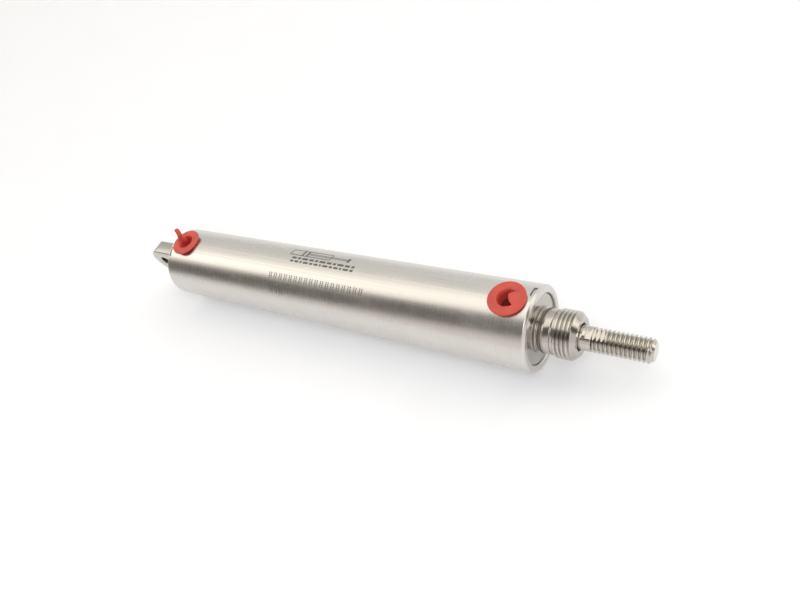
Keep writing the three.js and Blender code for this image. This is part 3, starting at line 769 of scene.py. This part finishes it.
def make_o_ring(node, name, body):
    low, high = box_mm(node)
    section_r = (high.x - low.x) / 2
    centre_x, centre_r = (low.x + high.x) / 2, high.z - section_r
    section_sides = 20
    mesh = bmesh.new()
    outline = []
    for i in range(section_sides):
        angle = 2 * math.pi * i / section_sides
        outline.append((centre_x + section_r * math.cos(angle), centre_r + section_r * math.sin(angle)))
    turn(mesh, outline, HEAD_SIDES, closed=True)
    keep(shape(mesh, name, smooth_degrees=60), NITRILE, "seal_nitrile", body, node)


def make_u_cup(node, name, inner_r, lips_forward, material, slot, body):
    low, high = box_mm(node)
    heel, lips = (low.x, high.x) if lips_forward else (high.x, low.x)
    outer_r = high.z
    height = outer_r - inner_r
    groove_floor = heel + (lips - heel) * 0.45
    middle = (inner_r + outer_r) / 2
    outline = [
        (heel, inner_r + 0.08 * height, 0.15),
        (lips, inner_r, 0.1),
        (lips, inner_r + 0.22 * height, 0.1),
        (groove_floor, middle, 0.3),
        (lips, outer_r - 0.22 * height, 0.1),
        (lips, outer_r, 0.1),
        (heel, outer_r - 0.08 * height, 0.15),
    ]
    mesh = bmesh.new()
    turn(mesh, outline, HEAD_SIDES, closed=True)
    keep(shape(mesh, name), material, slot, body, node)


def make_wiper():
    low, high = box_mm("rod_wiper")
    start, end, outer_r = low.x, high.x, high.z
    lip_r = ROD_R + 0.1
    lip_start = end - 0.8
    outline = [
        (start, lip_r + 0.8, 0.15),
        (start, outer_r, 0.15),
        (lip_start, outer_r, 0.2),
        (lip_start, lip_r + 0.6, 0.1),
        (end, lip_r + 0.3, 0.1),
        (end, lip_r, 0.05),
        (lip_start, lip_r, 0.1),
    ]
    mesh = bmesh.new()
    turn(mesh, outline, HEAD_SIDES, closed=True)
    keep(shape(mesh, "rod_wiper_lip"), NITRILE, "seal_nitrile", "barrel", "rod_wiper")


def make_gland():
    rod_fit = ROD_R + 0.1
    make_ring("rod_bushing", "rod_bushing_sleeve", rod_fit, 0.25, BRONZE, "bushing_bronze", "barrel")
    make_u_cup("rod_seal", "rod_seal_cup", rod_fit, False, URETHANE, "bumper_urethane", "barrel")
    make_ring("rod_seal_washer", "rod_seal_backing", 5.1, 0.1, WIRE_STEEL, "wire_steel", "barrel")
    make_wiper()


# ------------------------------------------------------------------------------------------------
# Piston and rod


def make_piston():
    low, high = box_mm("piston")
    rear, front, rim_r = low.x, high.x, high.z
    land, seal_groove, ring_groove = 1.4, 3.3, 2.2
    ring_start = (front + rear - ring_groove) / 2
    grooves = [
        (rear + land, seal_groove, 2.9),
        (ring_start, ring_groove, 1.2),
        (front - land - seal_groove, seal_groove, 2.9),
    ]
    outline = [(rear, 7.3, 0.2), (rear, rim_r, 0.4)]
    for start, width, depth in grooves:
        outline += [(start, rim_r, 0.1), (start, rim_r - depth, 0.15)]
        outline += [(start + width, rim_r - depth, 0.15), (start + width, rim_r, 0.1)]
    outline += [
        (front, rim_r, 0.4),
        (front, 5.0, 0.15),
        (front - 1.9, 5.0),
        (front - 1.9, 3.275),
        (rear + 7.2, 3.275),
        (rear + 7.2, 7.3, 0.3),
    ]
    mesh = bmesh.new()
    turn(mesh, outline, HEAD_SIDES, closed=True)
    keep(shape(mesh, "piston_body"), ALUMINIUM, "piston_aluminium", "rod", "piston")


def make_nut():
    low, high = box_mm("piston_nut")
    apothem = 0.4375 * INCH / 2
    hole_r = 3.275
    sides = 96
    chamfer = 0.6
    rows = [
        (low.x, hole_r + 0.3),
        (low.x, apothem),
        (low.x + chamfer, None),
        (high.x - chamfer, None),
        (high.x, apothem),
        (high.x, hole_r + 0.3),
        (high.x - 0.3, hole_r),
        (low.x + 0.3, hole_r),
        (low.x, hole_r + 0.3),
    ]

    def place(side, ring):
        x, radius = rows[ring]
        if radius is None:
            sixth = math.pi / 3
            angle = (2 * math.pi * side / sides) % sixth - sixth / 2
            radius = apothem / math.cos(angle)
        return x, radius

    mesh = bmesh.new()
    grid(mesh, sides, len(rows), place)
    keep(shape(mesh, "piston_nut_hex", smooth_degrees=20), WIRE_STEEL, "wire_steel", "rod", "piston_nut")


def make_rod():
    shoulder = box_mm("piston")[1].x + 0.3
    stud_r = 0.125 * INCH
    neck_r = ROD_R - 1.0
    tip_r = ROD_R - ROD_END_CHAMFER
    mesh = bmesh.new()
    shaft = [
        (STUD_END, 0),
        (STUD_END, stud_r, 0.4),
        (shoulder, stud_r),
        (shoulder, ROD_R, 0.2),
        (ROD_THREAD_START, ROD_R, 0.3),
        (ROD_THREAD_START, neck_r),
    ]
    turn(mesh, shaft, ROD_SIDES)
    wind_thread(
        mesh,
        ROD_THREAD_START,
        ROD_END,
        ROD_R,
        lambda x: min(neck_r + 2.5 * (x - ROD_THREAD_START), tip_r + ROD_END - x),
        ROD_SIDES,
        ROD_FORM,
    )
    turn(mesh, [(ROD_END, tip_r), (ROD_END, 0)], ROD_SIDES)
    rod = shape(mesh, "rod_shaft", smooth_degrees=40)
    combine(rod, [flats_cutter(side) for side in (-1, 1)], "DIFFERENCE")
    smooth(rod, 40)
    keep(rod, ROD_STEEL, "rod_stainless", "rod", "piston_rod")


def flats_cutter(side):
    """A block that mills one wrench flat, over the plain shaft and the first turns of the thread."""
    mesh = bmesh.new()
    length = FLATS_END - FLATS_START
    bmesh.ops.create_cube(mesh, size=1.0)
    bmesh.ops.scale(mesh, verts=mesh.verts, vec=(length, 4 * ROD_R, ROD_R))
    bmesh.ops.bevel(mesh, geom=mesh.edges[:], offset=0.25, segments=3, affect="EDGES", profile=0.5)
    height = side * (WRENCH_FLATS / 2 + ROD_R / 2)
    return shape(mesh, "flats_cutter", Matrix.Translation((FLATS_START + length / 2, 0, height)))


def make_moving_parts():
    make_piston()
    make_rod()
    make_nut()
    make_ring("piston_washer", "piston_nut_washer", 3.275, 0.15, WIRE_STEEL, "wire_steel", "rod")
    make_o_ring("piston_rod_seal", "piston_rod_o_ring", "rod")
    seal_inner = BORE_R - 0.24 - 2.9 + 0.1
    for end, forward in (("front", True), ("rear", False)):
        node, name = f"piston_{end}_seal", f"piston_{end}_cup"
        make_u_cup(node, name, seal_inner, forward, NITRILE, "seal_nitrile", "piston_seals")
    ring_inner = BORE_R - 0.24 - 1.2 + 0.1
    wear = ("piston_wear_ring", "piston_wear_band")
    make_ring(*wear, ring_inner, 0.1, POLYMER, "ring_polymer", "piston_seals")


# ------------------------------------------------------------------------------------------------
# Port plugs


FLANGE_R = (box_mm("front_port_plug")[1].x - box_mm("front_port_plug")[0].x) / 2
FLANGE_THICKNESS = 1.2


def plug_cup(x):
    underside = TUBE_R + 0.15
    top = underside + FLANGE_THICKNESS
    outline = [
        (12.6, 0),
        (12.6, 2.9, 0.5),
        (underside, 3.5),
        (top, 4.05, 0.3),
        (top, FLANGE_R, 0.45),
        (underside, FLANGE_R, 0.3),
        (underside, 4.1, 0.2),
        (PLUG_BOTTOM, 3.7, 0.5),
        (PLUG_BOTTOM, 0),
    ]
    mesh = bmesh.new()
    turn(mesh, outline, HEAD_SIDES)
    return shape(mesh, "plug_cup", Matrix.Translation((x, 0, 0)) @ UPRIGHT)


def tab_shape(sections):
    """A tab lofted through oval sections: centre, direction of its width, width, thickness."""
    mesh = bmesh.new()
    sides = 24
    loops = []
    for i, (centre, across, width, thickness) in enumerate(sections):
        ahead = Vector(sections[min(i + 1, len(sections) - 1)][0])
        behind = Vector(sections[max(i - 1, 0)][0])
        along = (ahead - behind).normalized()
        side_axis = (Vector(across) - along * Vector(across).dot(along)).normalized()
        thick_axis = along.cross(side_axis)
        loop = []
        for side in range(sides):
            angle = 2 * math.pi * side / sides
            offset = side_axis * (width / 2 * math.cos(angle))
            offset += thick_axis * (thickness / 2 * math.sin(angle))
            loop.append(mesh.verts.new(Vector(centre) + offset))
        loops.append(loop)
    mesh.faces.new(loops[0])
    mesh.faces.new(loops[-1])
    for here, after in zip(loops, loops[1:]):
        for side in range(sides):
            last = (side + 1) % sides
            mesh.faces.new((here[side], here[last], after[last], after[side]))
    return shape(mesh, "tab")


def make_plug(end, x, sections):
    plug = plug_cup(x)
    placed = [((x + c[0], c[1], c[2]), across, width, thick) for c, across, width, thick in sections]
    combine(plug, [tab_shape(placed)], "UNION")
    remesh = plug.modifiers.new("moulded_skin", "REMESH")
    remesh.mode = "VOXEL"
    remesh.voxel_size = 0.16 * MM
    soften_skin = plug.modifiers.new("soften_skin", "SMOOTH")
    soften_skin.factor = 0.6
    soften_skin.iterations = 4
    apply_modifiers(plug)
    smooth(plug, 60)
    plug.name = end + "_plug_body"
    plug.data.name = plug.name
    keep(plug, PLUG_PLASTIC, "plug_red", end + "_plug", end + "_port_plug")


def make_plugs():
    rim = TUBE_R + 0.15
    width_along = (0.88, 0.46, 0.0)
    standing = [
        ((-3.6, 0.9, rim - 0.8), width_along, 5.6, 1.6),
        ((-3.6, 1.0, rim + 0.6), width_along, 5.4, 1.7),
        ((-3.6, 1.2, rim + 1.9), width_along, 4.6, 1.8),
        ((-3.6, 1.5, rim + 3.0), width_along, 3.2, 2.0),
        ((-3.6, 1.8, rim + 4.1), width_along, 2.6, 2.3),
        ((-3.6, 2.1, rim + 5.4), width_along, 2.5, 2.4),
        ((-3.6, 2.4, rim + 7.0), width_along, 2.5, 2.4),
        ((-3.6, 2.5, rim + 7.5), width_along, 1.9, 1.8),
        ((-3.6, 2.55, rim + 7.7), width_along, 0.9, 0.8),
    ]
    folded_across = (0.2, 1.0, 0.0)
    folded = [
        ((5.4, 0.3, rim + 0.5), folded_across, 7.6, 1.1),
        ((3.7, 0.6, rim + 0.9), folded_across, 6.8, 1.2),
        ((2.3, 0.9, rim + 1.2), folded_across, 5.2, 1.2),
        ((1.2, 1.2, rim + 1.4), folded_across, 3.0, 1.1),
        ((0.5, 1.35, rim + 1.5), folded_across, 0.8, 0.8),
    ]
    make_plug("rear", REAR_PORT, standing)
    make_plug("front", FRONT_PORT, folded)


# ------------------------------------------------------------------------------------------------
# Floor, light and camera


# The floor lies just under the tube, glows a little like lit paper, and runs past the view.
FLOOR_GAP = 0.1
FLOOR_GLOW = 0.14
FLOOR_HALF_SIZE = 4000


def make_floor():
    shader = Shader("pale_floor")
    x, y, z = shader.place()
    speckle = shader.noise(*(shader.math("MULTIPLY", axis, 40.0) for axis in (x, y, z)), detail=3.0)
    base = shader.tint(shader.spread(speckle, 0.0, 1.0), (0.86, 0.88, 0.925), (0.89, 0.91, 0.955))
    shader.set(Base_Color=base, Roughness=0.9)
    shader.surface.inputs["Emission Color"].default_value = (1.0, 1.0, 1.0, 1.0)
    shader.surface.inputs["Emission Strength"].default_value = FLOOR_GLOW
    mesh = bmesh.new()
    bmesh.ops.create_grid(mesh, x_segments=8, y_segments=8, size=FLOOR_HALF_SIZE)
    height = TUBE_LOW.z - FLOOR_GAP
    floor = shape(mesh, "floor", Matrix.Translation((0, 0, height)))
    floor.data.materials.append(shader.material)


# Sky brightness and colour by angle round the cylinder's axis, in degrees from +Y over +Z to -Y.
SKY_STOPS = (
    (0, (0.72, 0.73, 0.71)),
    (25, (0.78, 0.79, 0.76)),
    (48, (0.92, 0.90, 0.84)),
    (60, (1.08, 1.04, 0.96)),
    (68, (1.5, 1.44, 1.31)),
    (88, (1.65, 1.58, 1.44)),
    (106, (1.35, 1.29, 1.18)),
    (111, (0.62, 0.59, 0.54)),
    (117, (0.19, 0.18, 0.165)),
    (134, (0.155, 0.145, 0.135)),
    (150, (0.19, 0.18, 0.165)),
    (161, (0.64, 0.60, 0.57)),
    (171, (0.92, 0.87, 0.83)),
    (180, (0.95, 0.90, 0.87)),
)
SKY_TOP = 1.7

# The bands lean a little, because the lamps behind them stand nearer the rod end.
SKY_LEAN = math.radians(45)
SKY_LEAN_START = math.radians(20)


def make_sky():
    """A soft studio surround: pale all round, with a bright band overhead and a dark one beside it."""
    world = bpy.data.worlds.new("studio")
    bpy.context.scene.world = world
    world.use_nodes = True
    nodes, links = world.node_tree.nodes, world.node_tree.links
    split = nodes.new("ShaderNodeSeparateXYZ")
    links.new(nodes.new("ShaderNodeTexCoord").outputs["Generated"], split.inputs[0])
    angle = nodes.new("ShaderNodeMath")
    angle.operation = "ARCTAN2"
    links.new(split.outputs[2], angle.inputs[0])
    links.new(split.outputs[1], angle.inputs[1])
    lean = nodes.new("ShaderNodeMath")
    lean.operation = "MULTIPLY_ADD"
    lean.inputs[1].default_value = SKY_LEAN
    lean.inputs[2].default_value = SKY_LEAN_START
    links.new(split.outputs[0], lean.inputs[0])
    total = nodes.new("ShaderNodeMath")
    total.operation = "ADD"
    links.new(angle.outputs[0], total.inputs[0])
    links.new(lean.outputs[0], total.inputs[1])
    share = nodes.new("ShaderNodeMath")
    share.operation = "DIVIDE"
    share.inputs[1].default_value = math.pi
    links.new(total.outputs[0], share.inputs[0])
    ramp = nodes.new("ShaderNodeValToRGB")
    links.new(share.outputs[0], ramp.inputs[0])
    stops = ramp.color_ramp.elements
    while len(stops) < len(SKY_STOPS):
        stops.new(1.0)
    for stop, (degrees, color) in zip(stops, SKY_STOPS):
        stop.position = degrees / 180
        stop.color = (*(channel / SKY_TOP for channel in color), 1.0)
    background = nodes["Background"]
    links.new(ramp.outputs[0], background.inputs[0])
    background.inputs[1].default_value = SKY_TOP


def make_lamp(name, place, target, size, watts, color):
    light = bpy.data.lights.new(name, "AREA")
    light.shape = "RECTANGLE"
    light.size, light.size_y = size
    light.energy = watts
    light.color = color
    lamp = bpy.data.objects.new(name, light)
    bpy.context.scene.collection.objects.link(lamp)
    lamp.location = place
    lamp.rotation_mode = "QUATERNION"
    lamp.rotation_quaternion = (Vector(target) - Vector(place)).to_track_quat("-Z", "Y")


def make_camera():
    """Looks along the cylinder from in front and above its rod end, rolled a little to one side."""
    data = bpy.data.cameras.new("camera")
    data.sensor_width = 36.0
    data.lens = 29.53
    data.clip_start, data.clip_end = 0.01, 50.0
    camera = bpy.data.objects.new("camera", data)
    bpy.context.scene.collection.objects.link(camera)
    forward = Vector((-0.53837, 0.40876, -0.73693)).normalized()
    up = Vector((-0.16106, 0.80846, 0.56610))
    right = forward.cross(up).normalized()
    up = right.cross(forward)
    turned = Matrix((right, up, -forward)).transposed().to_4x4()
    camera.matrix_world = Matrix.Translation((0.08838, -0.11687, 0.21197)) @ turned
    bpy.context.scene.camera = camera


def make_stage():
    make_floor()
    make_sky()
    make_lamp("key_light", (0.25, -0.35, 0.9), (-0.08, 0, 0), (0.7, 0.5), 2.8, (0.97, 0.99, 1.0))
    make_camera()
    bpy.context.scene.view_settings.view_transform = "Standard"


# ------------------------------------------------------------------------------------------------
# Assembly

make_tube()
make_marks()
make_front_head()
make_rear_head()
make_retaining_wire("front", FRONT_PLACE)
make_retaining_wire("rear", REAR_PLACE)
make_o_ring("front_head_seal", "front_head_o_ring", "barrel")
make_o_ring("rear_head_seal", "rear_head_o_ring", "barrel")
make_ring("front_bumper", "front_bumper_pad", 5.4, 0.25, URETHANE, "bumper_urethane", "barrel")
make_ring("rear_bumper", "rear_bumper_pad", 5.4, 0.25, URETHANE, "bumper_urethane", "barrel")
make_gland()
make_moving_parts()
make_plugs()
make_stage()
